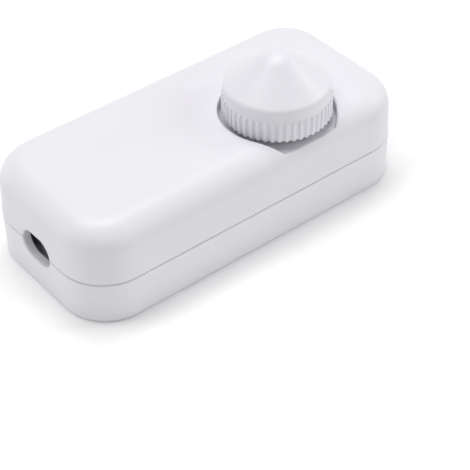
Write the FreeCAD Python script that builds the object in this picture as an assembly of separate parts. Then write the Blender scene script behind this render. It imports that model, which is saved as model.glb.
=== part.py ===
import FreeCAD, Part
import math
import os

Vector = FreeCAD.Vector
UP = Vector(0, 0, 1)
ALONG = Vector(1, 0, 0)
ACROSS = Vector(0, 1, 0)
LEVEL = 1e-6

# Case: two moulded shells that meet at a parting line, in millimetres
CASE_LENGTH = 90.0
CASE_WIDTH = 42.8
CASE_HEIGHT = 24.5
PARTING_HEIGHT = 10.7
CORNER_R = 11.4
TOP_EDGE_R = 6.0
BASE_EDGE_R = 0.9
UPPER_DRAFT_DEG = 2.6
LOWER_DRAFT_DEG = 0.8
WALL = 2.0
ROOF = 2.0
FLOOR = 2.0
SEAM_GAP = 0.35
SEAM_DEPTH = 0.6
SEAM_BEVEL = 0.15
LIP_HEIGHT = 1.4
LIP_THICKNESS = 0.8
LIP_CLEARANCE = 0.1

# Cord inlets: one obround hole in each end wall, halved by the parting line
INLET_WIDTH = 10.2
INLET_HEIGHT = 6.8
INLET_EDGE_R = 0.4

# Knob pocket: a round recess in the roof that breaks out through the front edge
KNOB_FROM_END = 29.4
KNOB_FROM_FRONT = 13.1
POCKET_DEPTH = 2.85
POCKET_GAP = 0.85
POCKET_WALL = 1.8
POCKET_EDGE_R = 0.5

# Knob: ribbed skirt, smooth band, rounded shoulder and a cone with a rounded tip
KNOB_R = 12.5
KNOB_LIFT = 2.5
KNOB_BAND_PROUD = 0.05
KNOB_EDGE_HEIGHT = 7.75
KNOB_SHOULDER_R = 1.5
KNOB_CONE_DEG = 37.5
KNOB_TIP_R = 6.5
KNOB_WALL = 1.6
RIB_COUNT = 48
RIB_R = 0.45
RIB_PROUD = 0.42
RIB_LENGTH = 5.0
RIB_FADE = 0.7
HUB_R = 5.0
HUB_GAP = 0.5
WEB_COUNT = 4
WEB_THICKNESS = 1.2
WEB_LIFT = 2.0
BORE_CLEARANCE = 0.02
BORE_TOP_GAP = 0.3

# Potentiometer with its switch, stacked on the board below the pocket
SHAFT_R = 3.0
SHAFT_FLAT = 1.5
SHAFT_ABOVE_POCKET = 12.4
SHAFT_CLEARANCE = 0.05
BUSH_R = 3.6
BUSH_FLANGE_R = 5.6
BUSH_FLANGE_HEIGHT = 0.8
BUSH_STANDS = 0.3
BUSH_HOLE_CLEARANCE = 0.25
BUSH_SEAT_GAP = 0.2
RIVET_DEPTH = 0.3
SNUG = 0.02
POT_R = 8.2
CAN_HEIGHT = 5.5
CAN_SHEET = 0.5
WAFER_THICKNESS = 1.0
SWITCH_HEIGHT = 4.0
SWITCH_FLAT_AT = 5.6
SPIGOT_R = 2.0
SPIGOT_DEPTH = 2.4
ROTOR_R = 6.0
ROTOR_THICKNESS = 1.6
ROTOR_LIFT = 0.9
STOP_LUG_REACH = 1.1
STOP_LUG_DEG = 24.0
STOP_AT_DEG = 90.0
STOP_TAB_DEG = 30.0
STOP_GAP = 0.5
TURN_SPARE_DEG = 3.0
WIPER_SHEET = 0.3
WIPER_INNER_R = 3.4
WIPER_OUTER_R = 5.4
WIPER_FINGER_WIDTH = 1.2
WIPER_GAP = 0.1
CRIMP_TAB_WIDTH = 2.4
CRIMP_TAB_COUNT = 3
CRIMP_TAB_ROOT = 1.5
CRIMP_TAB_CLEARANCE = 0.05
POT_PIN_PITCH = 4.0
POT_PIN_IN = 1.0
SWITCH_PIN_PITCH = 5.0

# Board and what is common to the wires soldered into it
BOARD_THICKNESS = 1.6
BOARD_SIDE_GAP = 0.8
BOARD_END_GAP = 0.6
BOARD_CORNER_R = 1.5
PIN_R = 0.4
PIN_CLEARANCE = 0.1
PIN_TAIL = 1.2
POST_R = 2.4
POST_INSET = 3.2

# Case screws in two columns at opposite corners
COLUMN_R = 3.6
COLUMN_INSET_X = 8.7
COLUMN_INSET_Y = 8.5
COUNTERBORE_DEPTH = 4.5
CASE_SCREW_R = 1.5
CASE_SCREW_HEAD_R = 2.7
CASE_SCREW_HEAD = 2.0
CASE_SCREW_LENGTH = 13.0

# Small self-cutting screws that hold the board and the cord clamps
SMALL_SCREW_R = 1.1
SMALL_SCREW_HEAD_R = 2.1
SMALL_SCREW_HEAD = 1.4
BOARD_SCREW_LENGTH = 5.0
CLAMP_SCREW_LENGTH = 7.5
SCREW_FREE_GAP = 0.2
SCREW_BITE_GAP = 0.03
SCREW_END_GAP = 0.5
SLOT_WIDTH = 0.6
SLOT_DEPTH = 0.8

# Cord clamps: a bar across two posts, over a saddle that the cord lies on
CLAMP_FROM_END = 7.4
CLAMP_COLUMN_GAP = 0.4
CLAMP_POST_R = 2.2
CLAMP_SEAT_ABOVE_PARTING = 0.9
CLAMP_WIDTH = 5.0
CLAMP_THICKNESS = 2.2
CLAMP_TOOTH = 0.7
CLAMP_TOOTH_WIDTH = 1.2
CLAMP_TOOTH_PITCH = 2.5
SADDLE_DROP = 3.0
SADDLE_THICKNESS = 2.4

# Terminal blocks: moulded bodies with a caged screw for each of two wires
TERMINAL_DEPTH = 7.6
TERMINAL_WIDTH = 10.4
TERMINAL_HEIGHT = 9.5
TERMINAL_EDGE_GAP = 0.3
TERMINAL_PITCH = 5.0
TERMINAL_IN_Y = 0.0
TERMINAL_OUT_Y = 4.7
TERMINAL_BEVEL = 1.2
CAGE_WIDTH = 3.4
CAGE_HEIGHT = 4.2
CAGE_DEPTH = 4.6
CAGE_SHEET = 0.7
CAGE_LIFT = 1.4
CAGE_INSET = 1.0
CAGE_CLEARANCE = 0.1
CAGE_SCREW_R = 1.0
CAGE_SCREW_HEAD_R = 1.5
CAGE_SCREW_HEAD = 1.6
CAGE_SCREW_STANDS = 0.5
CAGE_SCREW_REACH = 1.6

# Fuse: a glass tube with end caps, held in two spring clips
FUSE_R = 2.6
FUSE_LENGTH = 20.0
FUSE_CAP_LENGTH = 5.0
FUSE_CAP_SHEET = 0.25
FUSE_GLASS_WALL = 0.5
FUSE_FROM_FRONT = 4.2
FUSE_FROM_POST = 3.0
FUSE_LIFT = 0.3
CLIP_SHEET = 0.5
CLIP_LENGTH = 3.8
CLIP_RISE = 1.8
CLIP_CLEARANCE = 0.03

# Choke: a drum core with a wound coil
CHOKE_R = 7.5
CHOKE_HEIGHT = 9.5
CHOKE_FLANGE = 1.2
CHOKE_CORE_R = 3.2
CHOKE_Y = 0.6
CHOKE_GAP = 1.0
WINDING_TURNS = 8
WINDING_R = 6.9
CHOKE_PIN_R = 5.0

# Capacitors: moulded boxes on two wires
SUPPRESSOR_LENGTH = 17.0
SUPPRESSOR_WIDTH = 7.0
SUPPRESSOR_HEIGHT = 10.0
SUPPRESSOR_FROM_BACK = 0.8
SUPPRESSOR_FROM_POST = 3.2
SUPPRESSOR_PIN_PITCH = 12.5
TIMER_LENGTH = 6.0
TIMER_WIDTH = 3.0
TIMER_HEIGHT = 6.5
TIMER_PIN_PITCH = 4.0
TIMER_Y = 3.4
CAPACITOR_EDGE_R = 0.5

# Triac on its heat sink, bolted through the board
HEAT_SINK_LENGTH = 19.0
HEAT_SINK_DEPTH = 11.8
HEAT_SINK_HEIGHT = 8.5
HEAT_SINK_SHEET = 1.5
HEAT_SINK_FROM_END = 9.0
HEAT_SINK_FROM_BACK = 0.8
TRIAC_LENGTH = 9.2
TRIAC_WIDTH = 9.8
TRIAC_HEIGHT = 4.4
TRIAC_OVERHANG = 0.6
TRIAC_LEAD_PITCH = 2.54
TRIAC_LEAD_RISE = 2.4
TRIAC_LEAD_REACH = 2.2
TAB_LENGTH = 15.4
TAB_WIDTH = 9.0
TAB_SHEET = 1.3
TAB_HOLE_FROM_END = 2.9
BOLT_R = 1.5
BOLT_HEAD_R = 2.6
BOLT_HEAD = 1.8
BOLT_TAIL = 0.5
NUT_ACROSS = 5.5
NUT_HEIGHT = 2.0
NUT_SIDES = 6

# Two resistors and a trigger diode lying side by side on bent wires
SMALL_PART_PITCH = 2.3
SMALL_PART_Y = -2.6
RESISTOR_LENGTH = 3.6
RESISTOR_R = 0.9
RESISTOR_WAIST_R = 0.75
RESISTOR_END = 0.9
DIODE_LENGTH = 3.2
DIODE_R = 0.8
LEAD_SPAN = 6.2
SMALL_PART_LIFT = 0.1

# Places that follow from the sizes above
HALF_LENGTH = CASE_LENGTH / 2
HALF_WIDTH = CASE_WIDTH / 2
KNOB_X = HALF_LENGTH - KNOB_FROM_END
KNOB_Y = KNOB_FROM_FRONT - HALF_WIDTH
POCKET_R = KNOB_R + POCKET_GAP
POCKET_FLOOR = CASE_HEIGHT - POCKET_DEPTH
POCKET_UNDER = POCKET_FLOOR - POCKET_WALL
CAN_TOP = POCKET_UNDER - BUSH_SEAT_GAP - BUSH_FLANGE_HEIGHT
WAFER_TOP = CAN_TOP - CAN_HEIGHT
SWITCH_TOP = WAFER_TOP - WAFER_THICKNESS
BOARD_TOP = SWITCH_TOP - SWITCH_HEIGHT
BOARD_UNDER = BOARD_TOP - BOARD_THICKNESS
PIN_END = BOARD_UNDER - PIN_TAIL
COLUMN_X = HALF_LENGTH - COLUMN_INSET_X
COLUMN_Y = HALF_WIDTH - COLUMN_INSET_Y
COLUMN_PLACES = [(-COLUMN_X, -COLUMN_Y), (COLUMN_X, COLUMN_Y)]
BOARD_HALF_LENGTH = COLUMN_X - COLUMN_R - BOARD_END_GAP
BOARD_HALF_WIDTH = HALF_WIDTH - WALL - BOARD_SIDE_GAP
POST_X = BOARD_HALF_LENGTH - POST_INSET
POST_Y = BOARD_HALF_WIDTH - POST_INSET
POST_PLACES = [(sx * POST_X, sy * POST_Y) for sx in (-1, 1) for sy in (-1, 1)]
CLAMP_X = HALF_LENGTH - CLAMP_FROM_END
CLAMP_SEAT = PARTING_HEIGHT + CLAMP_SEAT_ABOVE_PARTING
CLAMP_POST_Y = COLUMN_Y - COLUMN_R - CLAMP_COLUMN_GAP - CLAMP_WIDTH / 2
SHAFT_TOP = POCKET_FLOOR + SHAFT_ABOVE_POCKET
ROTOR_UNDER = WAFER_TOP + ROTOR_LIFT
ROTOR_TOP = ROTOR_UNDER + ROTOR_THICKNESS
KNOB_BOTTOM = POCKET_FLOOR + KNOB_LIFT
HUB_BOTTOM = POCKET_FLOOR + BUSH_STANDS + HUB_GAP
RIB_TOP = KNOB_BOTTOM + RIB_LENGTH
SKIRT_R = KNOB_R - RIB_PROUD
BAND_R = SKIRT_R + KNOB_BAND_PROUD
TERMINAL_X = BOARD_HALF_LENGTH - TERMINAL_EDGE_GAP - TERMINAL_DEPTH / 2
TERMINAL_PLACES = [(-1, TERMINAL_IN_Y), (1, TERMINAL_OUT_Y)]
CAGE_FLOOR = BOARD_TOP + CAGE_LIFT
CAGE_TOP = CAGE_FLOOR + CAGE_HEIGHT
FUSE_Y = FUSE_FROM_FRONT - BOARD_HALF_WIDTH
FUSE_X = FUSE_FROM_POST - POST_X + FUSE_LENGTH / 2
FUSE_Z = BOARD_TOP + CLIP_SHEET + FUSE_LIFT + FUSE_R
CHOKE_X = TERMINAL_DEPTH / 2 - TERMINAL_X + CHOKE_GAP + CHOKE_R
SUPPRESSOR_X = SUPPRESSOR_FROM_POST - POST_X + SUPPRESSOR_LENGTH / 2
SUPPRESSOR_Y = BOARD_HALF_WIDTH - SUPPRESSOR_FROM_BACK - SUPPRESSOR_WIDTH / 2
HEAT_SINK_END = BOARD_HALF_LENGTH - HEAT_SINK_FROM_END
HEAT_SINK_START = HEAT_SINK_END - HEAT_SINK_LENGTH
HEAT_SINK_BACK = BOARD_HALF_WIDTH - HEAT_SINK_FROM_BACK
HEAT_SINK_FRONT = HEAT_SINK_BACK - HEAT_SINK_DEPTH
HEAT_SINK_TOP = BOARD_TOP + HEAT_SINK_SHEET
TRIAC_Y = (HEAT_SINK_FRONT + HEAT_SINK_BACK - HEAT_SINK_SHEET) / 2
TRIAC_START = HEAT_SINK_START + TRIAC_OVERHANG
BOLT_X = TRIAC_START + TAB_LENGTH - TAB_HOLE_FROM_END
SMALL_PART_X = (CHOKE_X + CHOKE_R + KNOB_X - POT_R) / 2
LEAD_Z = BOARD_TOP + SMALL_PART_LIFT + RESISTOR_R


def box(x0, x1, y0, y1, z0, z1):
    return Part.makeBox(x1 - x0, y1 - y0, z1 - z0, Vector(x0, y0, z0))


def block(x, y, length, width, z0, z1):
    return box(x - length / 2, x + length / 2, y - width / 2, y + width / 2, z0, z1)


def post(x, y, radius, z0, z1):
    return Part.makeCylinder(radius, z1 - z0, Vector(x, y, z0), UP)


def wire_bar(start, end, radius):
    run = end - start
    return Part.makeCylinder(radius, run.Length, start, run)


def turned(points, x, y):
    """Solid of revolution about the upright line through x, y from (radius, height) points."""
    corners = [Vector(x + r, y, z) for r, z in points]
    face = Part.Face(Part.makePolygon(corners + corners[:1]))
    return face.revolve(Vector(x, y, 0), UP, 360)


def sector(inner, outer, start_deg, sweep_deg, z0, z1):
    """Slice of a ring about the knob axis, from start_deg turning anticlockwise."""
    ring = Part.makeCylinder(outer, z1 - z0, Vector(0, 0, z0), UP, sweep_deg)
    core = Part.makeCylinder(inner, z1 - z0, Vector(0, 0, z0), UP)
    piece = ring.cut(core)
    piece.rotate(Vector(0, 0, 0), UP, start_deg)
    piece.translate(Vector(KNOB_X, KNOB_Y, 0))
    return piece


def joined(shapes):
    return shapes[0].multiFuse(shapes[1:]).removeSplitter()


def outline(inset, z):
    """Plan of the case at one height: straight sides with round corners."""
    x = HALF_LENGTH - inset
    y = HALF_WIDTH - inset
    r = CORNER_R - inset
    bend = r * (1 - math.sqrt(0.5))
    edges = []
    for sx, sy in [(1, 1), (-1, 1), (-1, -1), (1, -1)]:
        side = Vector(sx * x, sy * (y - r), z)
        middle = Vector(sx * (x - bend), sy * (y - bend), z)
        end = Vector(sx * (x - r), sy * y, z)
        ends = (side, end) if sx * sy > 0 else (end, side)
        edges.append(Part.Arc(ends[0], middle, ends[1]).toShape())
    sides = []
    for this, following in zip(edges, edges[1:] + edges[:1]):
        start = this.lastVertex(True).Point
        end = following.firstVertex(True).Point
        sides.append(Part.makeLine(start, end))
    loop = [edge for pair in zip(edges, sides) for edge in pair]
    return Part.Wire(loop)


def drafted(inset0, z0, inset1, z1):
    return Part.makeLoft([outline(inset0, z0), outline(inset1, z1)], True, True)


def edges_at(shape, z):
    """Edges of a shape that lie level at one height."""
    return [e for e in shape.Edges if abs(e.BoundBox.ZMin - z) < LEVEL and abs(e.BoundBox.ZMax - z) < LEVEL]


def inset_at(z):
    """How far the drafted outside stands in from the parting outline at one height."""
    if z > PARTING_HEIGHT:
        return (z - PARTING_HEIGHT) * math.tan(math.radians(UPPER_DRAFT_DEG))
    return (PARTING_HEIGHT - z) * math.tan(math.radians(LOWER_DRAFT_DEG))


def inlet(side):
    """Obround cord hole through one end wall, from outside to past the inner face."""
    radius = INLET_HEIGHT / 2
    reach = INLET_WIDTH / 2 - radius
    start = HALF_LENGTH - WALL - LIP_THICKNESS
    end = HALF_LENGTH + WALL
    low = Vector(side * start, -reach, PARTING_HEIGHT)
    high = Vector(side * start, reach, PARTING_HEIGHT)
    run = ALONG * side
    rounds = [Part.makeCylinder(radius, end - start, corner, run) for corner in (low, high)]
    x0, x1 = sorted((side * start, side * end))
    middle = box(x0, x1, -reach, reach, PARTING_HEIGHT - radius, PARTING_HEIGHT + radius)
    return joined([middle] + rounds)


def mouths_rounded(body):
    """A case half with the outer edges of its cord holes rounded."""
    mouths = []
    for edge in body.Edges:
        bounds = edge.BoundBox
        outer = min(abs(bounds.XMin), abs(bounds.XMax)) > HALF_LENGTH - WALL / 2
        inner = max(abs(bounds.YMin), abs(bounds.YMax)) < INLET_WIDTH / 2 + SNUG
        if outer and inner and bounds.ZMax - bounds.ZMin + bounds.YMax - bounds.YMin > INLET_EDGE_R:
            mouths.append(edge)
    return body.makeFillet(INLET_EDGE_R, mouths)


def upper_housing():
    outside = drafted(0, PARTING_HEIGHT, inset_at(CASE_HEIGHT), CASE_HEIGHT)
    outside = outside.makeFillet(TOP_EDGE_R, edges_at(outside, CASE_HEIGHT))
    outside = mouths_rounded(outside.cut([inlet(-1), inlet(1)]))
    ceiling = CASE_HEIGHT - ROOF
    hollow = drafted(WALL, PARTING_HEIGHT, WALL + inset_at(ceiling), ceiling)
    hollow = hollow.makeFillet(TOP_EDGE_R - WALL, edges_at(hollow, ceiling))
    pocket_cup = post(KNOB_X, KNOB_Y, POCKET_R + POCKET_WALL, POCKET_UNDER, CASE_HEIGHT).common(outside)
    bosses = [post(x, y, COLUMN_R, PARTING_HEIGHT, CASE_HEIGHT).common(outside) for x, y in COLUMN_PLACES]
    shell = joined([outside.cut(hollow), pocket_cup] + bosses)
    rebate_inset = WALL - LIP_THICKNESS - LIP_CLEARANCE
    rebate_top = PARTING_HEIGHT + LIP_HEIGHT + LIP_CLEARANCE
    rebate = drafted(rebate_inset, PARTING_HEIGHT, rebate_inset, rebate_top)
    keep = drafted(WALL + LIP_CLEARANCE, PARTING_HEIGHT, WALL + LIP_CLEARANCE, rebate_top)
    seam_top = PARTING_HEIGHT + SEAM_GAP
    seam = drafted(-SEAM_DEPTH, PARTING_HEIGHT, -SEAM_DEPTH, seam_top)
    seam = seam.cut(drafted(SEAM_DEPTH, PARTING_HEIGHT, SEAM_DEPTH, seam_top))
    cuts = [rebate.cut(keep), seam]
    cuts.append(post(KNOB_X, KNOB_Y, POCKET_R, POCKET_FLOOR, CASE_HEIGHT + ROOF))
    cuts.append(post(KNOB_X, KNOB_Y, BUSH_R + BUSH_HOLE_CLEARANCE, POCKET_UNDER - ROOF, CASE_HEIGHT))
    bite = COUNTERBORE_DEPTH + CASE_SCREW_LENGTH + SCREW_END_GAP
    for x, y in COLUMN_PLACES:
        cuts.append(post(x, y, CASE_SCREW_R + SCREW_BITE_GAP, PARTING_HEIGHT, bite))
    shell = shell.cut(cuts).removeSplitter()
    return shell.makeFillet(POCKET_EDGE_R, pocket_edges(shell))


def pocket_edges(shell):
    """Rim of the knob pocket, and the sill where its floor runs out through the front edge."""
    round_faces = [f for f in shell.Faces if type(f.Surface) is Part.Cylinder]
    walls = [f for f in round_faces if abs(f.Surface.Radius - POCKET_R) < SNUG]
    rim = [e for wall in walls for e in wall.Edges if e.BoundBox.ZMax > POCKET_FLOOR + SNUG]
    sill = [e for e in edges_at(shell, POCKET_FLOOR) if e.BoundBox.YMax < KNOB_Y - POCKET_R / 2]
    return rim + sill


def lower_cover():
    outside = drafted(inset_at(0), 0, 0, PARTING_HEIGHT)
    outside = outside.makeFillet(BASE_EDGE_R, edges_at(outside, 0))
    outside = outside.makeChamfer(SEAM_BEVEL, edges_at(outside, PARTING_HEIGHT))
    outside = mouths_rounded(outside.cut([inlet(-1), inlet(1)]))
    hollow = drafted(WALL + inset_at(FLOOR), FLOOR, WALL, PARTING_HEIGHT)
    lip_top = PARTING_HEIGHT + LIP_HEIGHT
    lip_inset = WALL - LIP_THICKNESS
    lip = drafted(lip_inset, PARTING_HEIGHT - LIP_HEIGHT, lip_inset, lip_top)
    lip = lip.cut(drafted(WALL, PARTING_HEIGHT - LIP_HEIGHT, WALL, lip_top))
    body = [outside.cut(hollow), lip]
    body += [post(x, y, COLUMN_R, FLOOR / 2, PARTING_HEIGHT) for x, y in COLUMN_PLACES]
    body += [post(x, y, POST_R, FLOOR / 2, BOARD_UNDER) for x, y in POST_PLACES]
    for side in (-1, 1):
        saddle_top = PARTING_HEIGHT - SADDLE_DROP
        span = 2 * CLAMP_POST_Y
        body.append(block(side * CLAMP_X, 0, SADDLE_THICKNESS, span, FLOOR / 2, saddle_top))
        for hand in (-1, 1):
            body.append(post(side * CLAMP_X, hand * CLAMP_POST_Y, CLAMP_POST_R, FLOOR / 2, CLAMP_SEAT))
    shell = joined(body)
    cuts = [inlet(-1), inlet(1)]
    for x, y in COLUMN_PLACES:
        cuts.append(post(x, y, CASE_SCREW_HEAD_R + SCREW_FREE_GAP, -FLOOR, COUNTERBORE_DEPTH))
        cuts.append(post(x, y, CASE_SCREW_R + SCREW_FREE_GAP, 0, PARTING_HEIGHT))
    for x, y in POST_PLACES:
        cuts.append(pilot_hole(x, y, BOARD_TOP, BOARD_SCREW_LENGTH))
    for side in (-1, 1):
        for hand in (-1, 1):
            seat = CLAMP_SEAT + CLAMP_THICKNESS
            cuts.append(pilot_hole(side * CLAMP_X, hand * CLAMP_POST_Y, seat, CLAMP_SCREW_LENGTH))
    return shell.cut(cuts).removeSplitter()


def pilot_hole(x, y, seat, length):
    return post(x, y, SMALL_SCREW_R + SCREW_BITE_GAP, seat - length - SCREW_END_GAP, seat)


def screw(x, y, seat, radius, length, head_r, head):
    """Slotted pan-head screw pointing down, its head resting on the seat height."""
    dome = head / 2
    profile = [(0, seat), (head_r, seat), (head_r, seat + dome), (head_r - dome, seat + head)]
    body = turned(profile + [(0, seat + head)], x, y)
    shank = post(x, y, radius, seat - length, seat)
    slot = block(x, y, 2 * head_r, SLOT_WIDTH, seat + head - SLOT_DEPTH, seat + head)
    return joined([body, shank]).cut(slot)


def case_screws():
    screws = []
    for x, y in COLUMN_PLACES:
        piece = screw(x, y, 0, CASE_SCREW_R, CASE_SCREW_LENGTH, CASE_SCREW_HEAD_R, CASE_SCREW_HEAD)
        piece.rotate(Vector(x, y, 0), ALONG, 180)
        piece.translate(UP * COUNTERBORE_DEPTH)
        screws.append(piece)
    return Part.makeCompound(screws)


def small_screw(x, y, seat, length):
    return screw(x, y, seat, SMALL_SCREW_R, length, SMALL_SCREW_HEAD_R, SMALL_SCREW_HEAD)


def board_screws():
    return Part.makeCompound([small_screw(x, y, BOARD_TOP, BOARD_SCREW_LENGTH) for x, y in POST_PLACES])


def clamp_screws():
    seat = CLAMP_SEAT + CLAMP_THICKNESS
    places = [(sx * CLAMP_X, sy * CLAMP_POST_Y) for sx in (-1, 1) for sy in (-1, 1)]
    return Part.makeCompound([small_screw(x, y, seat, CLAMP_SCREW_LENGTH) for x, y in places])


def cord_clamp(side):
    x = side * CLAMP_X
    top = CLAMP_SEAT + CLAMP_THICKNESS
    ends = [post(x, hand * CLAMP_POST_Y, CLAMP_WIDTH / 2, CLAMP_SEAT, top) for hand in (-1, 1)]
    bar = joined([block(x, 0, CLAMP_WIDTH, 2 * CLAMP_POST_Y, CLAMP_SEAT, top)] + ends)
    tooth_half = CLAMP_POST_Y - CLAMP_POST_R - SCREW_FREE_GAP
    for hand in (-1, 1):
        middle = x + hand * CLAMP_TOOTH_PITCH / 2
        low = Vector(middle, -tooth_half, CLAMP_SEAT - CLAMP_TOOTH)
        left = Vector(middle - CLAMP_TOOTH_WIDTH / 2, -tooth_half, CLAMP_SEAT)
        right = Vector(middle + CLAMP_TOOTH_WIDTH / 2, -tooth_half, CLAMP_SEAT)
        tooth = Part.Face(Part.makePolygon([low, right, left, low])).extrude(ACROSS * 2 * tooth_half)
        bar = joined([bar, tooth])
    for hand in (-1, 1):
        hole = post(x, hand * CLAMP_POST_Y, SMALL_SCREW_R + SCREW_FREE_GAP, CLAMP_SEAT, top)
        bar = bar.cut(hole)
    return bar


def crown_line():
    """Slope and heights of the knob's cone, from the edge of its band to its rounded tip."""
    slope = math.radians(KNOB_CONE_DEG)
    edge = KNOB_BOTTOM + KNOB_EDGE_HEIGHT
    tip_start = KNOB_TIP_R * math.sin(slope)
    tip_z = edge + (BAND_R - tip_start) * math.tan(slope)
    return slope, edge, tip_start, tip_z


def knob_core():
    """Smooth turned form of the knob: skirt, band, shoulder, cone and rounded tip."""
    slope, edge, tip_start, tip_z = crown_line()
    tip_centre = tip_z - KNOB_TIP_R * math.cos(slope)
    half = slope / 2
    tip_middle = Vector(KNOB_TIP_R * math.sin(half), 0, tip_centre + KNOB_TIP_R * math.cos(half))
    apex = Vector(0, 0, tip_centre + KNOB_TIP_R)
    inner_r = SKIRT_R - KNOB_BAND_PROUD
    outline = [Vector(0, 0, KNOB_BOTTOM), Vector(inner_r, 0, KNOB_BOTTOM), Vector(inner_r, 0, RIB_TOP)]
    outline += [Vector(BAND_R, 0, RIB_TOP), Vector(BAND_R, 0, edge), Vector(tip_start, 0, tip_z)]
    edges = [Part.makeLine(a, b) for a, b in zip(outline, outline[1:])]
    edges.append(Part.Arc(outline[-1], tip_middle, apex).toShape())
    edges.append(Part.makeLine(apex, outline[0]))
    core = Part.Face(Part.Wire(edges)).revolve(Vector(0, 0, 0), UP, 360)
    return core.makeFillet(KNOB_SHOULDER_R, edges_at(core, edge))


def knob_ribs():
    """Ring of half-round upright ribs, their upper ends sloped back to the band."""
    step = 2 * math.pi / RIB_COUNT
    centre_r = KNOB_R - RIB_R
    cosine = (centre_r ** 2 + SKIRT_R ** 2 - RIB_R ** 2) / (2 * centre_r * SKIRT_R)
    spread = math.acos(cosine)
    edges = []
    for number in range(RIB_COUNT):
        middle = number * step
        angles = [middle - spread, middle + spread, middle + step / 2, middle + step - spread]
        foot, heel, valley, next_foot = [polar(SKIRT_R, a, KNOB_BOTTOM) for a in angles]
        edges.append(Part.Arc(foot, polar(KNOB_R, middle, KNOB_BOTTOM), heel).toShape())
        edges.append(Part.Arc(heel, valley, next_foot).toShape())
    ring = Part.Face(Part.Wire(edges)).extrude(UP * RIB_LENGTH)
    over = KNOB_R + RIB_R
    fade_start = RIB_TOP - RIB_FADE * (over - BAND_R) / (KNOB_R - BAND_R)
    points = [(0, KNOB_BOTTOM), (over, KNOB_BOTTOM), (over, fade_start), (BAND_R, RIB_TOP), (0, RIB_TOP)]
    return ring.common(turned(points, 0, 0))


def polar(radius, angle, z):
    return Vector(radius * math.cos(angle), radius * math.sin(angle), z)


def control_knob():
    slope, edge, tip_start, tip_z = crown_line()
    body = joined([knob_core(), knob_ribs()])
    inner_r = SKIRT_R - KNOB_WALL
    drop = KNOB_WALL / math.cos(slope)
    inner_edge = edge - drop + KNOB_WALL * math.tan(slope)
    hub_rise = inner_edge + (inner_r - HUB_R) * math.tan(slope)
    points = [(HUB_R, KNOB_BOTTOM), (inner_r, KNOB_BOTTOM), (inner_r, inner_edge), (HUB_R, hub_rise)]
    body = body.cut(turned(points, 0, 0))
    hub = post(0, 0, HUB_R, HUB_BOTTOM, KNOB_BOTTOM)
    webs = []
    for number in range(WEB_COUNT):
        web = block(inner_r / 2, 0, inner_r + KNOB_WALL, WEB_THICKNESS, KNOB_BOTTOM + WEB_LIFT, inner_edge)
        web.rotate(Vector(0, 0, 0), UP, number * 360 / WEB_COUNT)
        webs.append(web)
    body = joined([body, hub] + webs)
    bore = post(0, 0, SHAFT_R + BORE_CLEARANCE, HUB_BOTTOM, SHAFT_TOP + BORE_TOP_GAP)
    key_face = SHAFT_R - SHAFT_FLAT + BORE_CLEARANCE
    key = box(-HUB_R, HUB_R, key_face, HUB_R, KNOB_BOTTOM, SHAFT_TOP + BORE_TOP_GAP)
    body = body.cut(bore.cut(key))
    body.translate(Vector(KNOB_X, KNOB_Y, 0))
    return body


def pot_shaft():
    """Plastic shaft, flat at the top for the knob, with its rotor disc and stop lug."""
    stem = post(KNOB_X, KNOB_Y, SHAFT_R, ROTOR_UNDER, SHAFT_TOP)
    flat = box(KNOB_X - SHAFT_R, KNOB_X + SHAFT_R, KNOB_Y + SHAFT_R - SHAFT_FLAT, KNOB_Y + SHAFT_R,
               KNOB_BOTTOM - BORE_TOP_GAP, SHAFT_TOP)
    disc = post(KNOB_X, KNOB_Y, ROTOR_R, ROTOR_UNDER, ROTOR_TOP)
    lug_start = STOP_AT_DEG - STOP_TAB_DEG / 2 - TURN_SPARE_DEG - STOP_LUG_DEG
    lug = sector(ROTOR_R / 2, ROTOR_R + STOP_LUG_REACH, lug_start, STOP_LUG_DEG, ROTOR_UNDER, ROTOR_TOP)
    spigot = post(KNOB_X, KNOB_Y, SPIGOT_R, SWITCH_TOP - SPIGOT_DEPTH, ROTOR_UNDER)
    return joined([stem.cut(flat), disc, lug, spigot])


def pot_wiper():
    """Sprung brass ring under the rotor, with one finger bent down over the track."""
    top = ROTOR_UNDER
    ring = post(KNOB_X, KNOB_Y, WIPER_OUTER_R, top - WIPER_SHEET, top)
    ring = ring.cut(post(KNOB_X, KNOB_Y, WIPER_INNER_R, top - WIPER_SHEET, top))
    finger_x = KNOB_X + WIPER_OUTER_R - WIPER_FINGER_WIDTH
    finger = block(finger_x, KNOB_Y, WIPER_FINGER_WIDTH, WIPER_FINGER_WIDTH, WAFER_TOP + WIPER_GAP, top)
    return joined([ring, finger])


def pot_bushing():
    """Neck that the shaft runs in: flange on the can, collar through the pocket floor."""
    bore = SHAFT_R + SHAFT_CLEARANCE
    foot = CAN_TOP - CAN_SHEET - RIVET_DEPTH
    flange_top = CAN_TOP + BUSH_FLANGE_HEIGHT
    neck_top = POCKET_FLOOR + BUSH_STANDS
    points = [(bore, foot), (BUSH_R, foot), (BUSH_R, CAN_TOP), (BUSH_FLANGE_R, CAN_TOP)]
    points += [(BUSH_FLANGE_R, flange_top), (BUSH_R, flange_top), (BUSH_R, neck_top), (bore, neck_top)]
    return turned(points, KNOB_X, KNOB_Y)


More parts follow.
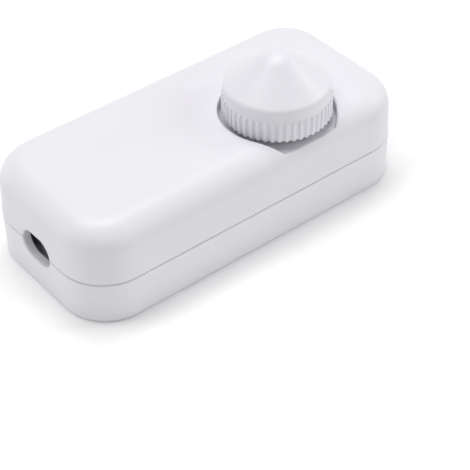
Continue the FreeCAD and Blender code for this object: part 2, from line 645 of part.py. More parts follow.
def pot_case():
    """Pressed metal can with an inward stop and tabs crimped down beside the switch."""
    can = post(KNOB_X, KNOB_Y, POT_R, WAFER_TOP, CAN_TOP)
    inner_r = POT_R - CAN_SHEET
    can = can.cut(post(KNOB_X, KNOB_Y, inner_r, WAFER_TOP, CAN_TOP - CAN_SHEET))
    can = can.cut(post(KNOB_X, KNOB_Y, BUSH_R + SNUG, WAFER_TOP, CAN_TOP))
    stop_start = STOP_AT_DEG - STOP_TAB_DEG / 2
    stop_top = CAN_TOP - CAN_SHEET
    stop = sector(ROTOR_R + STOP_GAP, POT_R - CAN_SHEET / 2, stop_start, STOP_TAB_DEG, ROTOR_UNDER, stop_top)
    tabs = []
    tab_r = POT_R + CRIMP_TAB_CLEARANCE
    for number in range(CRIMP_TAB_COUNT):
        root = box(POT_R - CAN_SHEET / 2, tab_r + CAN_SHEET, -CRIMP_TAB_WIDTH / 2, CRIMP_TAB_WIDTH / 2,
                   WAFER_TOP, WAFER_TOP + CRIMP_TAB_ROOT)
        leg = box(tab_r, tab_r + CAN_SHEET, -CRIMP_TAB_WIDTH / 2, CRIMP_TAB_WIDTH / 2, BOARD_TOP, WAFER_TOP)
        tab = joined([root, leg])
        tab.rotate(Vector(0, 0, 0), UP, (number - 1) * 360 / (CRIMP_TAB_COUNT + 1))
        tab.translate(Vector(KNOB_X, KNOB_Y, 0))
        tabs.append(tab)
    return joined([can, stop] + tabs)


def pot_wafer():
    """Phenolic disc that carries the resistance track, between can and switch."""
    disc = post(KNOB_X, KNOB_Y, POT_R, SWITCH_TOP, WAFER_TOP)
    cuts = [post(KNOB_X, KNOB_Y, SPIGOT_R + SHAFT_CLEARANCE, SWITCH_TOP, WAFER_TOP)]
    cuts += [post(x, y, PIN_R + SNUG, SWITCH_TOP, WAFER_TOP) for x, y in pot_pins()]
    return disc.cut(cuts)


def pot_pins():
    x = KNOB_X - POT_R + POT_PIN_IN
    return [(x, KNOB_Y + step * POT_PIN_PITCH) for step in (-1, 0, 1)]


def pot_terminals():
    pins = [post(x, y, PIN_R, PIN_END, WAFER_TOP) for x, y in pot_pins()]
    return Part.makeCompound(pins)


def switch_case():
    """Moulded body of the mains switch, cut flat where the track's pins pass down."""
    body = post(KNOB_X, KNOB_Y, POT_R, BOARD_TOP, SWITCH_TOP)
    flat_x = KNOB_X - SWITCH_FLAT_AT
    flat = box(KNOB_X - POT_R, flat_x, KNOB_Y - POT_R, KNOB_Y + POT_R, BOARD_TOP, SWITCH_TOP)
    socket = post(KNOB_X, KNOB_Y, SPIGOT_R + SHAFT_CLEARANCE, SWITCH_TOP - SPIGOT_DEPTH - SHAFT_CLEARANCE,
                  SWITCH_TOP)
    return body.cut([flat, socket])


def switch_pins():
    return [(KNOB_X + SWITCH_PIN_PITCH / 2, KNOB_Y + step * SWITCH_PIN_PITCH / 2) for step in (-1, 1)]


def switch_terminals():
    return Part.makeCompound([post(x, y, PIN_R, PIN_END, BOARD_TOP) for x, y in switch_pins()])


def terminal_pins():
    pins = []
    for side, y in TERMINAL_PLACES:
        for hand in (-1, 1):
            pins.append((side * TERMINAL_X, y + hand * TERMINAL_PITCH / 2))
    return pins


def cage_span(side):
    """Inner and outer ends, along the case, of the cages in one terminal block."""
    face = side * (TERMINAL_X + TERMINAL_DEPTH / 2 - CAGE_INSET)
    return sorted((face, face - side * CAGE_DEPTH))


def terminal_block(side, y):
    top = BOARD_TOP + TERMINAL_HEIGHT
    x = side * TERMINAL_X
    body = block(x, y, TERMINAL_DEPTH, TERMINAL_WIDTH, BOARD_TOP, top)
    face = x + side * TERMINAL_DEPTH / 2
    outer = [e for e in edges_at(body, top) if abs(e.CenterOfMass.x - face) < SNUG]
    body = body.makeChamfer(TERMINAL_BEVEL, outer)
    x0, x1 = cage_span(side)
    mouth0, mouth1 = sorted((face, x0 if side > 0 else x1))
    cuts = []
    for hand in (-1, 1):
        wire_y = y + hand * TERMINAL_PITCH / 2
        width = CAGE_WIDTH + 2 * CAGE_CLEARANCE
        cuts.append(box(mouth0 - (side > 0) * CAGE_CLEARANCE, mouth1 + (side < 0) * CAGE_CLEARANCE,
                        wire_y - width / 2, wire_y + width / 2, CAGE_FLOOR, CAGE_TOP + CAGE_CLEARANCE))
        cuts.append(post((x0 + x1) / 2, wire_y, CAGE_SCREW_HEAD_R + SCREW_FREE_GAP, CAGE_TOP, top))
        cuts.append(post(x, wire_y, PIN_R + SNUG, BOARD_TOP, CAGE_FLOOR))
    return body.cut(cuts)


def terminal_cages():
    """Folded brass cages with a square wire passage, a tapped roof and a pin into the board."""
    cages = []
    for side, y in TERMINAL_PLACES:
        x0, x1 = cage_span(side)
        for hand in (-1, 1):
            wire_y = y + hand * TERMINAL_PITCH / 2
            half = CAGE_WIDTH / 2
            cage = box(x0, x1, wire_y - half, wire_y + half, CAGE_FLOOR, CAGE_TOP)
            passage = box(x0, x1, wire_y - half + CAGE_SHEET, wire_y + half - CAGE_SHEET,
                          CAGE_FLOOR + CAGE_SHEET, CAGE_TOP - CAGE_SHEET)
            tapped = post((x0 + x1) / 2, wire_y, CAGE_SCREW_R + SNUG, CAGE_TOP - CAGE_SHEET, CAGE_TOP)
            pin = post(side * TERMINAL_X, wire_y, PIN_R, PIN_END, CAGE_FLOOR + CAGE_SHEET / 2)
            cages.append(joined([cage.cut([passage, tapped]), pin]))
    return Part.makeCompound(cages)


def terminal_screws():
    screws = []
    for side, y in TERMINAL_PLACES:
        x0, x1 = cage_span(side)
        for hand in (-1, 1):
            seat = CAGE_TOP + CAGE_SCREW_STANDS
            length = CAGE_SCREW_STANDS + CAGE_SHEET + CAGE_SCREW_REACH
            place = ((x0 + x1) / 2, y + hand * TERMINAL_PITCH / 2)
            screws.append(screw(*place, seat, CAGE_SCREW_R, length, CAGE_SCREW_HEAD_R, CAGE_SCREW_HEAD))
    return Part.makeCompound(screws)


def fuse_ends():
    return [(hand, FUSE_X + hand * (FUSE_LENGTH - FUSE_CAP_LENGTH) / 2) for hand in (-1, 1)]


def lying(x0, x1, y, z, radius):
    return Part.makeCylinder(radius, x1 - x0, Vector(x0, y, z), ALONG)


def fuse_glass():
    x0 = FUSE_X - FUSE_LENGTH / 2 + FUSE_CAP_SHEET + SNUG
    x1 = FUSE_X + FUSE_LENGTH / 2 - FUSE_CAP_SHEET - SNUG
    radius = FUSE_R - FUSE_CAP_SHEET - SNUG
    tube = lying(x0, x1, FUSE_Y, FUSE_Z, radius)
    return tube.cut(lying(x0, x1, FUSE_Y, FUSE_Z, radius - FUSE_GLASS_WALL))


def fuse_caps():
    caps = []
    for hand, x in fuse_ends():
        half = FUSE_CAP_LENGTH / 2
        cap = lying(x - half, x + half, FUSE_Y, FUSE_Z, FUSE_R)
        x0, x1 = sorted((x - hand * half, x + hand * (half - FUSE_CAP_SHEET)))
        caps.append(cap.cut(lying(x0, x1, FUSE_Y, FUSE_Z, FUSE_R - FUSE_CAP_SHEET)))
    return Part.makeCompound(caps)


def clip_pins():
    reach = FUSE_R + CLIP_CLEARANCE
    return [(x, FUSE_Y + side * reach) for hand, x in fuse_ends() for side in (-1, 1)]


def fuse_clips():
    """Sheet clips: a base on the board and two arms that grip an end cap."""
    clips = []
    inner = FUSE_R + CLIP_CLEARANCE
    top = FUSE_Z + CLIP_RISE
    for hand, x in fuse_ends():
        clip = block(x, FUSE_Y, CLIP_LENGTH, 2 * (inner + CLIP_SHEET), BOARD_TOP, top)
        clip = clip.cut(block(x, FUSE_Y, CLIP_LENGTH, 2 * inner, BOARD_TOP + CLIP_SHEET, top))
        pins = [post(px, py, PIN_R, PIN_END, BOARD_TOP + CLIP_SHEET / 2) for px, py in clip_pins() if px == x]
        clips.append(joined([clip] + pins))
    return Part.makeCompound(clips)


def choke_core():
    top = BOARD_TOP + CHOKE_HEIGHT
    points = [(0, BOARD_TOP), (CHOKE_R, BOARD_TOP), (CHOKE_R, BOARD_TOP + CHOKE_FLANGE)]
    points += [(CHOKE_CORE_R, BOARD_TOP + CHOKE_FLANGE), (CHOKE_CORE_R, top - CHOKE_FLANGE)]
    points += [(CHOKE_R, top - CHOKE_FLANGE), (CHOKE_R, top), (0, top)]
    return turned(points, CHOKE_X, CHOKE_Y)


def choke_winding():
    """Outer form of the wound coil, ridged by the turns of its wire."""
    low = BOARD_TOP + CHOKE_FLANGE + SNUG
    high = BOARD_TOP + CHOKE_HEIGHT - CHOKE_FLANGE - SNUG
    pitch = (high - low) / WINDING_TURNS
    inner = CHOKE_CORE_R + SNUG
    points = [(inner, low)]
    for turn in range(WINDING_TURNS):
        points.append((WINDING_R - pitch / 2, low + turn * pitch))
        points.append((WINDING_R, low + turn * pitch + pitch / 2))
    points += [(WINDING_R - pitch / 2, high), (inner, high)]
    return turned(points, CHOKE_X, CHOKE_Y)


def moulded_box(x, y, length, width, height):
    body = block(x, y, length, width, BOARD_TOP, BOARD_TOP + height)
    upper = [e for e in body.Edges if e.BoundBox.ZMax > BOARD_TOP + height / 2]
    return body.makeFillet(CAPACITOR_EDGE_R, upper)


def suppression_capacitor():
    return moulded_box(SUPPRESSOR_X, SUPPRESSOR_Y, SUPPRESSOR_LENGTH, SUPPRESSOR_WIDTH, SUPPRESSOR_HEIGHT)


def timing_capacitor():
    return moulded_box(SMALL_PART_X, TIMER_Y, TIMER_LENGTH, TIMER_WIDTH, TIMER_HEIGHT)


def heat_sink():
    """Bent aluminium angle: a foot under the triac and an upright fin behind it."""
    foot = box(HEAT_SINK_START, HEAT_SINK_END, HEAT_SINK_FRONT, HEAT_SINK_BACK, BOARD_TOP, HEAT_SINK_TOP)
    fin = box(HEAT_SINK_START, HEAT_SINK_END, HEAT_SINK_BACK - HEAT_SINK_SHEET, HEAT_SINK_BACK,
              BOARD_TOP, BOARD_TOP + HEAT_SINK_HEIGHT)
    angle = joined([foot, fin])
    bend = [e for e in edges_at(angle, BOARD_TOP) if abs(e.CenterOfMass.y - HEAT_SINK_BACK) < SNUG]
    angle = angle.makeFillet(HEAT_SINK_SHEET, bend)
    return angle.cut(post(BOLT_X, TRIAC_Y, BOLT_R + SCREW_FREE_GAP, BOARD_TOP, HEAT_SINK_TOP))


def triac_tab():
    plate = box(TRIAC_START, TRIAC_START + TAB_LENGTH, TRIAC_Y - TAB_WIDTH / 2, TRIAC_Y + TAB_WIDTH / 2,
                HEAT_SINK_TOP, HEAT_SINK_TOP + TAB_SHEET)
    return plate.cut(post(BOLT_X, TRIAC_Y, BOLT_R + SCREW_FREE_GAP, HEAT_SINK_TOP, HEAT_SINK_TOP + TAB_SHEET))


def triac_body():
    body = box(TRIAC_START, TRIAC_START + TRIAC_LENGTH, TRIAC_Y - TRIAC_WIDTH / 2, TRIAC_Y + TRIAC_WIDTH / 2,
               HEAT_SINK_TOP, HEAT_SINK_TOP + TRIAC_HEIGHT)
    seat = box(TRIAC_START, TRIAC_START + TRIAC_LENGTH, TRIAC_Y - TAB_WIDTH / 2, TRIAC_Y + TAB_WIDTH / 2,
               HEAT_SINK_TOP, HEAT_SINK_TOP + TAB_SHEET)
    return body.cut(seat)


def triac_screw():
    seat = HEAT_SINK_TOP + TAB_SHEET
    length = seat - BOARD_UNDER + NUT_HEIGHT + BOLT_TAIL
    return screw(BOLT_X, TRIAC_Y, seat, BOLT_R, length, BOLT_HEAD_R, BOLT_HEAD)


def triac_nut():
    step = 2 * math.pi / NUT_SIDES
    corner_r = NUT_ACROSS / 2 / math.cos(step / 2)
    corners = [polar(corner_r, step * k, BOARD_UNDER - NUT_HEIGHT) for k in range(NUT_SIDES)]
    nut = Part.Face(Part.makePolygon(corners + corners[:1])).extrude(UP * NUT_HEIGHT)
    nut.translate(Vector(BOLT_X, TRIAC_Y, 0))
    return nut.cut(post(BOLT_X, TRIAC_Y, BOLT_R + SNUG, BOARD_UNDER - NUT_HEIGHT, BOARD_UNDER))


def triac_pins():
    x = TRIAC_START - TRIAC_LEAD_REACH
    return [(x, TRIAC_Y + step * TRIAC_LEAD_PITCH) for step in (-1, 0, 1)]


def small_part_places():
    return [SMALL_PART_X + step * SMALL_PART_PITCH for step in (-1, 0, 1)]


def across_bar(x, length, radius):
    start = Vector(x, SMALL_PART_Y - length / 2, LEAD_Z)
    return Part.makeCylinder(radius, length, start, ACROSS)


def resistors():
    """Two film resistors, wider at their end caps than at the waist."""
    bodies = []
    for x in small_part_places()[:2]:
        waist = across_bar(x, RESISTOR_LENGTH, RESISTOR_WAIST_R)
        ends = []
        for hand in (-1, 1):
            y0 = SMALL_PART_Y + hand * RESISTOR_LENGTH / 2
            start = Vector(x, min(y0, y0 - hand * RESISTOR_END), LEAD_Z)
            ends.append(Part.makeCylinder(RESISTOR_R, RESISTOR_END, start, ACROSS))
        bodies.append(joined([waist] + ends))
    return Part.makeCompound(bodies)


def trigger_diode():
    return across_bar(small_part_places()[2], DIODE_LENGTH, DIODE_R)


def small_part_pins():
    return [(x, SMALL_PART_Y + hand * LEAD_SPAN / 2) for x in small_part_places() for hand in (-1, 1)]


def choke_pins():
    return [(CHOKE_X, CHOKE_Y + hand * CHOKE_PIN_R) for hand in (-1, 1)]


def capacitor_pins():
    pins = [(SUPPRESSOR_X + hand * SUPPRESSOR_PIN_PITCH / 2, SUPPRESSOR_Y) for hand in (-1, 1)]
    return pins + [(SMALL_PART_X + hand * TIMER_PIN_PITCH / 2, TIMER_Y) for hand in (-1, 1)]


def bent_lead(start, x, y):
    """Wire that leaves a body level, turns down and ends below the board."""
    bend = Vector(x, y, start.z)
    level = wire_bar(start, bend, PIN_R)
    down = wire_bar(bend, Vector(x, y, PIN_END), PIN_R)
    return joined([level, Part.makeSphere(PIN_R, bend), down])


def component_leads():
    leads = [post(x, y, PIN_R, PIN_END, BOARD_TOP) for x, y in choke_pins() + capacitor_pins()]
    for x, y in triac_pins():
        leads.append(bent_lead(Vector(TRIAC_START, y, HEAT_SINK_TOP + TRIAC_LEAD_RISE), x, y))
    lengths = [RESISTOR_LENGTH, RESISTOR_LENGTH, DIODE_LENGTH]
    for x, length in zip(small_part_places(), lengths):
        for hand in (-1, 1):
            start = Vector(x, SMALL_PART_Y + hand * length / 2, LEAD_Z)
            leads.append(bent_lead(start, x, SMALL_PART_Y + hand * LEAD_SPAN / 2))
    return Part.makeCompound(leads)


def circuit_board():
    """Rectangular board, drilled for every pin and screw that passes through it."""
    board = block(0, 0, 2 * BOARD_HALF_LENGTH, 2 * BOARD_HALF_WIDTH, BOARD_UNDER, BOARD_TOP)
    corners = [e for e in board.Edges if e.BoundBox.ZLength > BOARD_THICKNESS / 2]
    board = board.makeFillet(BOARD_CORNER_R, corners)
    pins = pot_pins() + switch_pins() + terminal_pins() + clip_pins() + choke_pins() + capacitor_pins()
    pins += triac_pins() + small_part_pins()
    holes = [post(x, y, PIN_R + PIN_CLEARANCE, BOARD_UNDER, BOARD_TOP) for x, y in pins]
    holes += [post(x, y, SMALL_SCREW_R + SCREW_FREE_GAP, BOARD_UNDER, BOARD_TOP) for x, y in POST_PLACES]
    holes.append(post(BOLT_X, TRIAC_Y, BOLT_R + SCREW_FREE_GAP, BOARD_UNDER, BOARD_TOP))
    return board.cut(holes)


NODES = {
    "upper_housing": upper_housing(),
    "lower_cover": lower_cover(),
    "case_screws": case_screws(),
    "control_knob": control_knob(),
    "pot_shaft": pot_shaft(),
    "pot_wiper": pot_wiper(),
    "pot_bushing": pot_bushing(),
    "pot_case": pot_case(),
    "pot_wafer": pot_wafer(),
    "pot_terminals": pot_terminals(),
    "switch_case": switch_case(),
    "switch_terminals": switch_terminals(),
    "circuit_board": circuit_board(),
    "board_screws": board_screws(),
    "triac_body": triac_body(),
    "triac_tab": triac_tab(),
    "triac_screw": triac_screw(),
    "triac_nut": triac_nut(),
    "heat_sink": heat_sink(),
    "choke_core": choke_core(),
    "choke_winding": choke_winding(),
    "suppression_capacitor": suppression_capacitor(),
    "timing_capacitor": timing_capacitor(),
    "resistors": resistors(),
    "trigger_diode": trigger_diode(),
    "component_leads": component_leads(),
    "fuse_glass": fuse_glass(),
    "fuse_caps": fuse_caps(),
    "fuse_clips": fuse_clips(),
    "terminal_block_in": terminal_block(*TERMINAL_PLACES[0]),
    "terminal_block_out": terminal_block(*TERMINAL_PLACES[1]),
    "terminal_cages": terminal_cages(),
    "terminal_screws": terminal_screws(),
    "cord_clamp_in": cord_clamp(-1),
    "cord_clamp_out": cord_clamp(1),
    "clamp_screws": clamp_screws(),
}

os.makedirs("parts", exist_ok=True)
for name, shape in NODES.items():
    shape.exportStep("parts/" + name + ".step")
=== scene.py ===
import math

import bpy
from mathutils import Matrix, Vector

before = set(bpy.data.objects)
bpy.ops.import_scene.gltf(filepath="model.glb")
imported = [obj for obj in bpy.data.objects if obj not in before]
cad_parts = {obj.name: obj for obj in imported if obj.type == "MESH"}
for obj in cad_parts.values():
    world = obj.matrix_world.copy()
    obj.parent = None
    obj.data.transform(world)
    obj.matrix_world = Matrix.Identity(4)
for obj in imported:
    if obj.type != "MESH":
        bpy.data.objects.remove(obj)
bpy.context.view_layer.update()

# Lower cover: the tray half of the case, moulded in white satin plastic with a fine
# spark-eroded grain. The board and the cord clamps stand on its posts, and its lip
# slides inside the upper housing along the parting line.
SATIN_WHITE = (0.800, 0.786, 0.830, 1.0)
CLOUD_SIZE = 0.009
CLOUD_TINT = 0.015


class Wire:
    """A value on its way through a material's nodes; sums and products add Math nodes."""

    def __init__(self, tree, socket):
        self.tree = tree
        self.socket = socket

    @classmethod
    def plug(cls, made, sockets):
        for name, value in sockets.items():
            if isinstance(value, cls):
                value.tree.links.new(value.socket, made.inputs[name])
            else:
                made.inputs[name].default_value = value

    @classmethod
    def node(cls, tree, kind, settings, sockets, out=0):
        made = tree.nodes.new(kind)
        for name, value in settings.items():
            setattr(made, name, value)
        cls.plug(made, sockets)
        return cls(tree, made.outputs[out])

    def math(self, operation, first, second):
        operands = {0: first, 1: second}
        return Wire.node(self.tree, "ShaderNodeMath", {"operation": operation}, operands)

    def __add__(self, other):
        return self.math("ADD", self, other)

    def __sub__(self, other):
        return self.math("SUBTRACT", self, other)

    def __rsub__(self, other):
        return self.math("SUBTRACT", other, self)

    def __mul__(self, other):
        return self.math("MULTIPLY", self, other)

    def __gt__(self, other):
        return self.math("GREATER_THAN", self, other)

    __radd__ = __add__
    __rmul__ = __mul__


def new_finish(name):
    material = bpy.data.materials.new(name)
    material.use_nodes = True
    return material, material.node_tree


def shade(material, sockets):
    Wire.plug(material.node_tree.nodes["Principled BSDF"], sockets)
    return material


def place(tree):
    return Wire.node(tree, "ShaderNodeTexCoord", {}, {}, "Object")


def speckle(tree, grain, detail=2.0):
    """Soft noise whose lumps are about one grain across, in metres."""
    sockets = {"Vector": place(tree), "Scale": 1 / grain, "Detail": detail}
    return Wire.node(tree, "ShaderNodeTexNoise", {}, sockets)


def blend_colour(tree, factor, first, second):
    sockets = {0: factor, 6: first, 7: second}
    return Wire.node(tree, "ShaderNodeMix", {"data_type": "RGBA"}, sockets, 2)


def relief(tree, height, depth):
    sockets = {"Strength": 1.0, "Distance": depth, "Height": height}
    return Wire.node(tree, "ShaderNodeBump", {}, sockets)


def tinted(colour, gain):
    return tuple(min(1.0, part * gain) for part in colour[:3]) + (1.0,)


def moulded(name, colour, grain=0.00022, depth=0.0000035, gloss=0.42):
    """Moulded plastic: even colour with faint flow clouds over a fine eroded grain."""
    material, tree = new_finish(name)
    clouds = speckle(tree, CLOUD_SIZE)
    texture = speckle(tree, grain)
    darker, lighter = tinted(colour, 1 - CLOUD_TINT), tinted(colour, 1 + CLOUD_TINT)
    return shade(material, {
        "Base Color": blend_colour(tree, clouds, darker, lighter),
        "Roughness": (gloss - 0.06) + 0.08 * texture + 0.04 * clouds,
        "Normal": relief(tree, texture, depth),
    })


def dress(material, *names):
    for name in names:
        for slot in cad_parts[name].material_slots:
            slot.material = material


case_plastic = moulded("case_plastic", SATIN_WHITE)
dress(case_plastic, "lower_cover")

# Circuit board: one sheet of amber paper laminate, sawn to size and drilled, with the
# faint mottling of its paper layers. Four screws hold it on the lower cover's posts.
LAMINATE_LIGHT = (0.46, 0.29, 0.13, 1.0)
LAMINATE_DARK = (0.33, 0.19, 0.075, 1.0)


def laminate(name, light, dark):
    """Paper laminate: mottled layers of resin and paper with fine fibres at the face."""
    material, tree = new_finish(name)
    layers = speckle(tree, 0.0012, 4.0)
    fibres = speckle(tree, 0.0003, 3.0)
    return shade(material, {
        "Base Color": blend_colour(tree, layers, dark, light),
        "Roughness": 0.38 + 0.2 * fibres,
        "Normal": relief(tree, fibres, 0.000008),
    })


dress(laminate("board_laminate", LAMINATE_LIGHT, LAMINATE_DARK), "circuit_board")

# Screws of the board, the terminals and the triac: zinc-plated steel, bright with a
# light blue passivation that is thinner on some patches than on others.
ZINC_BRIGHT = (0.74, 0.75, 0.77, 1.0)
ZINC_DULL = (0.58, 0.60, 0.63, 1.0)


def plated(name, bright, dull, gloss=0.28, patch=0.0015, depth=0.000004):
    """Plated metal: patches of brighter and duller plating with a fine drawn texture."""
    material, tree = new_finish(name)
    patches = speckle(tree, patch)
    drawn = speckle(tree, 0.0001)
    return shade(material, {
        "Base Color": blend_colour(tree, patches, dull, bright),
        "Metallic": 1.0,
        "Roughness": (gloss - 0.08) + 0.1 * patches + 0.1 * drawn,
        "Normal": relief(tree, drawn, depth),
    })


zinc = plated("screw_steel", ZINC_BRIGHT, ZINC_DULL)
dress(zinc, "board_screws", "terminal_screws", "triac_screw", "triac_nut")

# Terminal blocks: beige glass-filled nylon bodies soldered to the board at each end, with
# a folded brass cage round every wire.
NYLON_BEIGE = (0.45, 0.36, 0.31, 1.0)
BRASS_BRIGHT = (0.80, 0.62, 0.30, 1.0)
BRASS_DULL = (0.62, 0.46, 0.20, 1.0)
terminal_plastic = moulded("terminal_plastic", NYLON_BEIGE, grain=0.0004, depth=0.00001, gloss=0.5)
dress(terminal_plastic, "terminal_block_in", "terminal_block_out")
brass = plated("contact_brass", BRASS_BRIGHT, BRASS_DULL, gloss=0.3)
dress(brass, "terminal_cages")

# Fuse: a glass tube 20 mm long between two nickel-plated caps, which snap into a pair of
# tinned spring clips.
NICKEL_BRIGHT = (0.72, 0.70, 0.66, 1.0)
NICKEL_DULL = (0.60, 0.57, 0.53, 1.0)
TIN_BRIGHT = (0.76, 0.76, 0.75, 1.0)
TIN_DULL = (0.60, 0.60, 0.60, 1.0)
GLASS_CLEAR = (0.96, 0.98, 0.97, 1.0)


def glass(name, colour):
    """Clear drawn glass with a faint ripple along its face."""
    material, tree = new_finish(name)
    ripple = speckle(tree, 0.004)
    return shade(material, {
        "Base Color": colour,
        "Roughness": 0.02 + 0.05 * ripple,
        "IOR": 1.5,
        "Transmission Weight": 1.0,
        "Normal": relief(tree, ripple, 0.00001),
    })


dress(glass("fuse_glass", GLASS_CLEAR), "fuse_glass")
dress(plated("plated_sheet", NICKEL_BRIGHT, NICKEL_DULL, gloss=0.22), "fuse_caps", "pot_case")
dress(plated("tinned_plate", TIN_BRIGHT, TIN_DULL, gloss=0.34), "fuse_clips", "triac_tab")

# Choke: a black ferrite drum wound with enamelled copper wire, against the hum that the
# chopped current would send into the mains.
FERRITE_DARK = (0.030, 0.030, 0.032, 1.0)
FERRITE_LIGHT = (0.062, 0.061, 0.062, 1.0)
ENAMEL_LIGHT = (0.62, 0.24, 0.085, 1.0)
ENAMEL_DARK = (0.42, 0.13, 0.045, 1.0)


def pressed_powder(name, light, dark):
    """Sintered powder: a dull face with lighter and darker grains."""
    material, tree = new_finish(name)
    grains = speckle(tree, 0.00025, 5.0)
    return shade(material, {
        "Base Color": blend_colour(tree, grains, dark, light),
        "Roughness": 0.55 + 0.25 * grains,
        "Normal": relief(tree, grains, 0.00002),
    })


def enamelled(name, light, dark):
    """Copper wire under a clear baked enamel, darker on some turns than on others."""
    material, tree = new_finish(name)
    turns = speckle(tree, 0.0009)
    return shade(material, {
        "Base Color": blend_colour(tree, turns, dark, light),
        "Metallic": 0.85,
        "Roughness": 0.24 + 0.12 * turns,
        "Coat Weight": 0.6,
        "Normal": relief(tree, turns, 0.00001),
    })


dress(pressed_powder("ferrite", FERRITE_LIGHT, FERRITE_DARK), "choke_core")
dress(enamelled("enamelled_copper", ENAMEL_LIGHT, ENAMEL_DARK), "choke_winding")

# Capacitors: film windings potted in moulded boxes, the large one yellow and the small
# timing one a dull red.
BOX_YELLOW = (0.72, 0.47, 0.055, 1.0)
BOX_RED = (0.34, 0.075, 0.040, 1.0)
capacitor_case = moulded("capacitor_case", BOX_YELLOW, grain=0.0003, depth=0.000006, gloss=0.36)
dress(capacitor_case, "suppression_capacitor")
timer_case = moulded("timer_case", BOX_RED, grain=0.0003, depth=0.000006, gloss=0.36)
dress(timer_case, "timing_capacitor")

# Triac: a switching chip moulded in black epoxy on a tinned tab, bolted with a bent
# aluminium angle that carries its heat away.
EPOXY_BLACK = (0.022, 0.022, 0.024, 1.0)
ALUMINIUM_BRIGHT = (0.80, 0.80, 0.81, 1.0)
ALUMINIUM_DULL = (0.66, 0.67, 0.68, 1.0)
epoxy = moulded("moulding_compound", EPOXY_BLACK, grain=0.00018, depth=0.00001, gloss=0.55)
dress(epoxy, "triac_body")
aluminium = plated("heat_sink_aluminium", ALUMINIUM_BRIGHT, ALUMINIUM_DULL, gloss=0.4, patch=0.004)
dress(aluminium, "heat_sink")

# Resistors and trigger diode: two film resistors in beige lacquer with painted colour
# rings, and a small glass diode, all lying on bent tinned wires.
LACQUER = (0.60, 0.46, 0.29, 1.0)
RING_BROWN = (0.13, 0.045, 0.02, 1.0)
RING_FIRST = -0.0038
RING_STEP = 0.00075
RING_WIDTH = 0.4
DIODE_GLASS = (0.12, 0.22, 0.42, 1.0)


def ringed_lacquer(name):
    """Lacquer with dark rings painted at even steps along the body."""
    material, tree = new_finish(name)
    along = Wire.node(tree, "ShaderNodeSeparateXYZ", {}, {"Vector": place(tree)}, "Y")
    steps = (along - RING_FIRST) * (1 / RING_STEP)
    ring = 1 - (steps.math("FRACT", steps, 0.0) > RING_WIDTH)
    drips = speckle(tree, 0.0006)
    return shade(material, {
        "Base Color": blend_colour(tree, ring, LACQUER, RING_BROWN),
        "Roughness": 0.25 + 0.15 * drips,
        "Normal": relief(tree, drips, 0.00001),
    })


dress(ringed_lacquer("resistor_lacquer"), "resistors")
diode_glass = moulded("diode_glass", DIODE_GLASS, grain=0.0005, depth=0.000004, gloss=0.16)
dress(diode_glass, "trigger_diode")
tinned_wire = plated("tinned_wire", TIN_BRIGHT, TIN_DULL, gloss=0.3, patch=0.0008)
dress(tinned_wire, "component_leads", "pot_terminals", "switch_terminals")

# Potentiometer and mains switch: a brown phenolic switch body and wafer under a pressed
# plated can, a die-cast neck, and the ivory shaft with its brass wiper.
SWITCH_BROWN = (0.055, 0.032, 0.022, 1.0)
WAFER_LIGHT = (0.27, 0.14, 0.055, 1.0)
WAFER_DARK = (0.19, 0.09, 0.032, 1.0)
SHAFT_IVORY = (0.72, 0.69, 0.60, 1.0)
CAST_BRIGHT = (0.66, 0.66, 0.67, 1.0)
CAST_DULL = (0.52, 0.52, 0.54, 1.0)
switch_plastic = moulded("switch_plastic", SWITCH_BROWN, grain=0.0003, depth=0.00001, gloss=0.45)
dress(switch_plastic, "switch_case")
dress(laminate("phenolic", WAFER_LIGHT, WAFER_DARK), "pot_wafer")
bush_metal = plated("bush_metal", CAST_BRIGHT, CAST_DULL, gloss=0.42, patch=0.002, depth=0.000012)
dress(bush_metal, "pot_bushing")
shaft_plastic = moulded("shaft_plastic", SHAFT_IVORY, grain=0.0003, depth=0.000006, gloss=0.4)
dress(shaft_plastic, "pot_shaft")
dress(brass, "pot_wiper")

# Cord clamps: toothed bars of white nylon that press each cord down on its saddle, drawn
# tight by two small screws.
NYLON_WHITE = (0.70, 0.68, 0.64, 1.0)
clamp_plastic = moulded("clamp_plastic", NYLON_WHITE, grain=0.0003, depth=0.000006, gloss=0.46)
dress(clamp_plastic, "cord_clamp_in", "cord_clamp_out")
dress(zinc, "clamp_screws")

# Upper housing: the visible shell, moulded in the same plastic as the lower cover, with a
# round pocket for the knob that breaks out through the front edge.
dress(case_plastic, "upper_housing")

# Case screws: two self-cutting screws sunk in the underside, which draw the shells
# together at opposite corners.
dress(zinc, "case_screws")

# Control knob: a ribbed cap with a blunt cone on top, moulded a little glossier than the
# case and pressed on the flat of the shaft.
KNOB_WHITE = (0.800, 0.786, 0.834, 1.0)
knob_plastic = moulded("knob_plastic", KNOB_WHITE, depth=0.000002, gloss=0.38)
dress(knob_plastic, "control_knob")

# Studio floor: a sheet of matt white paper that the case stands on. It keeps the soft
# shadow round the foot of the case.
FLOOR_HALF = 0.45
FLOOR_WHITE = (1.0, 1.0, 1.0, 1.0)
corner_signs = ((-1, -1), (1, -1), (1, 1), (-1, 1))
sheet_mesh = bpy.data.meshes.new("studio_floor")
corners = [(x * FLOOR_HALF, y * FLOOR_HALF, 0) for x, y in corner_signs]
sheet_mesh.from_pydata(corners, [], [(0, 1, 2, 3)])
studio_floor = bpy.data.objects.new("studio_floor", sheet_mesh)
bpy.context.collection.objects.link(studio_floor)
paper = {"Base Color": FLOOR_WHITE, "Roughness": 0.9, "Specular IOR Level": 0.0}
sheet_mesh.materials.append(shade(new_finish("studio_paper")[0], paper))

# Studio light: a white room with a large softbox high behind the case, two at its sides
# that draw the streaks on the knob, and a weak one near the camera. The two low ones fill
# the walls without glints, so that the roof doesn't flare when seen along their light.
CAMERA_AZIMUTH = math.radians(-38.48)
LAMP_DISTANCE = 1.2
AIR_GLOW = 0.225


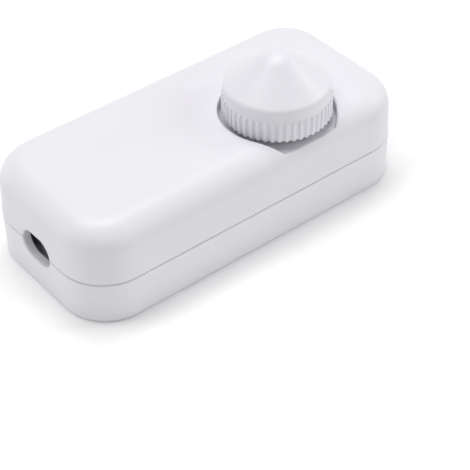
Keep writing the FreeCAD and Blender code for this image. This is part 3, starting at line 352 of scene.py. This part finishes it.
def outward(turn, rise):
    """Unit vector from the case, turned from the front and raised above the floor."""
    reach = math.cos(rise)
    return Vector((math.sin(turn) * reach, -math.cos(turn) * reach, math.sin(rise)))


def softbox(name, from_camera_deg, height_deg, width, tall, power, glints=True):
    """Rectangular lamp aimed at the case, placed by its angle to the right of the camera."""
    turn = CAMERA_AZIMUTH + math.radians(from_camera_deg)
    toward = outward(turn, math.radians(height_deg))
    lamp = bpy.data.lights.new(name, "AREA")
    lamp.shape = "RECTANGLE"
    lamp.size = width
    lamp.size_y = tall
    lamp.energy = power
    holder = bpy.data.objects.new(name, lamp)
    holder.location = toward * LAMP_DISTANCE
    holder.rotation_euler = toward.to_track_quat("Z", "Y").to_euler()
    holder.visible_glossy = glints
    bpy.context.collection.objects.link(holder)


softbox("softbox_behind", 180, 76, width=0.6, tall=0.6, power=6.5)
softbox("softbox_left_high", -92, 66, width=0.45, tall=0.5, power=3.2)
softbox("softbox_left_low", -88, 10, width=0.5, tall=0.5, power=2.3, glints=False)
softbox("softbox_right_high", 105, 30, width=0.35, tall=0.5, power=2.4)
softbox("softbox_right_low", 68, 18, width=0.5, tall=0.5, power=2.0, glints=False)
softbox("softbox_front", -8, 46, width=0.5, tall=0.5, power=1.4)
world = bpy.data.worlds.new("studio_air")
world.use_nodes = True
bpy.context.scene.world = world
air = world.node_tree
backdrop = air.nodes["Background"]
rays = air.nodes.new("ShaderNodeLightPath").outputs
direct = Wire(air, rays["Is Camera Ray"])
mirrored = Wire(air, rays["Is Glossy Ray"])
refracted = Wire(air, rays["Is Transmission Ray"])
seen = direct + mirrored + refracted > 0.5
Wire.plug(backdrop, {"Color": FLOOR_WHITE, "Strength": AIR_GLOW + (1 - AIR_GLOW) * seen})

# Camera: the photograph's view, three quarters from the front left and above.
CAMERA_RISE = math.radians(40.89)
CAMERA_ROLL = math.radians(-0.83)
CAMERA_DISTANCE = 0.35021
CAMERA_ASIDE = -0.00769
CAMERA_ABOVE = 0.00769
FRAME_PIXELS = 470
FOCAL_PIXELS = 1502.19
SENSOR_MM = 36.0
CLIP_START = 0.01
back = outward(CAMERA_AZIMUTH, CAMERA_RISE)
level = Vector((0, 0, 1)).cross(back).normalized()
upright = back.cross(level)
right = level * math.cos(CAMERA_ROLL) + upright * math.sin(CAMERA_ROLL)
up = upright * math.cos(CAMERA_ROLL) - level * math.sin(CAMERA_ROLL)
spot = back * CAMERA_DISTANCE - right * CAMERA_ASIDE - up * CAMERA_ABOVE
lens = bpy.data.cameras.new("photo_camera")
lens.sensor_width = SENSOR_MM
lens.sensor_fit = "HORIZONTAL"
lens.lens = FOCAL_PIXELS / FRAME_PIXELS * SENSOR_MM
lens.clip_start = CLIP_START
photo_camera = bpy.data.objects.new("photo_camera", lens)
facing = Matrix((right, up, back)).transposed().to_4x4()
photo_camera.matrix_world = Matrix.Translation(spot) @ facing
bpy.context.collection.objects.link(photo_camera)
bpy.context.scene.camera = photo_camera
bpy.context.scene.view_settings.view_transform = "Standard"
